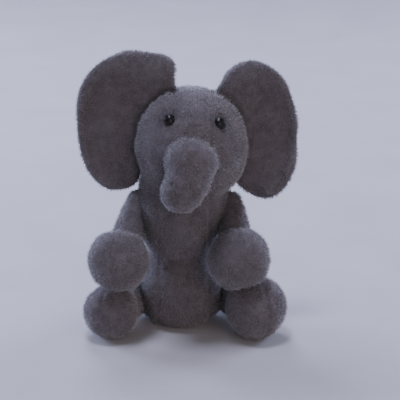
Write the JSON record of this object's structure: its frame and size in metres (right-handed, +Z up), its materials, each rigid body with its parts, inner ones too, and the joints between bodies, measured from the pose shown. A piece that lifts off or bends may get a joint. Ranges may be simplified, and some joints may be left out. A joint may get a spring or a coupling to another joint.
{
  "type": "stuffed elephant",
  "caption": "Small sitting plush elephant with big padded ears, a hanging trunk, black domed eyes and ball-ended limbs that move on soft joints.",
  "frame": {"origin": "centre of the flat seat that the toy sits on", "axes": "+Z up, the toy faces -Y, its left side is +X"},
  "size_m": [0.1023, 0.0689, 0.1293],
  "materials": {
    "plush": "matte",
    "stuffing": "matte",
    "wadding": "matte",
    "pouch_cloth": "matte",
    "pellets": "satin",
    "eye": "gloss",
    "washer": "satin",
    "thread": "matte"
  },
  "bodies": {
    "body": {"seat_base": "plush", "belly_panel": "plush", "body_side_left": "plush", "body_side_right": "plush", "body_stuffing": "stuffing", "pellet_pouch": "pouch_cloth", "pellets": "pellets"},
    "neck": {"neck_stuffing": "stuffing", "neck_thread": "thread"},
    "head": {"head_gusset": "plush", "chin_panel": "plush", "head_side_left": "plush", "head_side_right": "plush", "head_stuffing": "stuffing", "eye_left": "eye", "eye_right": "eye", "eye_washer_left": "washer", "eye_washer_right": "washer"},
    "trunk": {"trunk_left": "plush", "trunk_right": "plush", "trunk_stuffing": "stuffing"},
    "ear_left": {"ear_left_front": "plush", "ear_left_back": "plush", "ear_left_wadding": "wadding"},
    "arm_left": {"arm_left_outer": "plush", "arm_left_inner": "plush", "arm_left_stuffing": "stuffing"},
    "leg_left": {"leg_left_outer": "plush", "leg_left_inner": "plush", "leg_left_stuffing": "stuffing"},
    "ear_right": {"ear_right_front": "plush", "ear_right_back": "plush", "ear_right_wadding": "wadding"},
    "arm_right": {"arm_right_outer": "plush", "arm_right_inner": "plush", "arm_right_stuffing": "stuffing"},
    "leg_right": {"leg_right_outer": "plush", "leg_right_inner": "plush", "leg_right_stuffing": "stuffing"},
    "tail": {"tail": "plush"}
  },
  "joints": [
    {"name": "head_turn", "type": "hinge", "parent": "body", "child": "neck", "pos_m": [0, 0, 0.066], "axis": [0, 0, 1], "range_deg": [-15, 15], "stiffness_Nm_per_rad": 0.15},
    {"name": "head_nod", "type": "hinge", "parent": "neck", "child": "head", "pos_m": [0, 0, 0.066], "axis": [1, 0, 0], "range_deg": [-10, 8], "stiffness_Nm_per_rad": 0.2},
    {"name": "trunk_curl", "type": "hinge", "parent": "head", "child": "trunk", "pos_m": [0.0032, -0.031, 0.0885], "axis": [-1, 0, 0], "range_deg": [0, 35], "stiffness_Nm_per_rad": 0.02},
    {"name": "ear_left_fold", "type": "hinge", "parent": "head", "child": "ear_left", "pos_m": [0.0298, 0.0015, 0.09], "axis": [0, 0, -1], "range_deg": [-12, 25], "stiffness_Nm_per_rad": 0.02},
    {"name": "ear_right_fold", "type": "hinge", "parent": "head", "child": "ear_right", "pos_m": [-0.0228, 0.0015, 0.09], "axis": [0, 0, 1], "range_deg": [-12, 25], "stiffness_Nm_per_rad": 0.02},
    {"name": "arm_left_raise", "type": "hinge", "parent": "body", "child": "arm_left", "pos_m": [0.023, -0.001, 0.056], "axis": [-1, 0, 0], "range_deg": [0, 22], "stiffness_Nm_per_rad": 0.02},
    {"name": "arm_right_raise", "type": "hinge", "parent": "body", "child": "arm_right", "pos_m": [-0.0225, -0.001, 0.057], "axis": [-1, 0, 0], "range_deg": [0, 22], "stiffness_Nm_per_rad": 0.02},
    {"name": "leg_left_spread", "type": "hinge", "parent": "body", "child": "leg_left", "pos_m": [0.0235, -0.003, 0.01], "axis": [0, 0, 1], "range_deg": [0, 25], "stiffness_Nm_per_rad": 0.03},
    {"name": "leg_right_spread", "type": "hinge", "parent": "body", "child": "leg_right", "pos_m": [-0.0235, -0.003, 0.01], "axis": [0, 0, -1], "range_deg": [0, 25], "stiffness_Nm_per_rad": 0.03},
    {"name": "tail_lift", "type": "hinge", "parent": "body", "child": "tail", "pos_m": [0, 0.0203, 0.0245], "axis": [1, 0, 0], "range_deg": [0, 50], "stiffness_Nm_per_rad": 0.004}
  ]
}
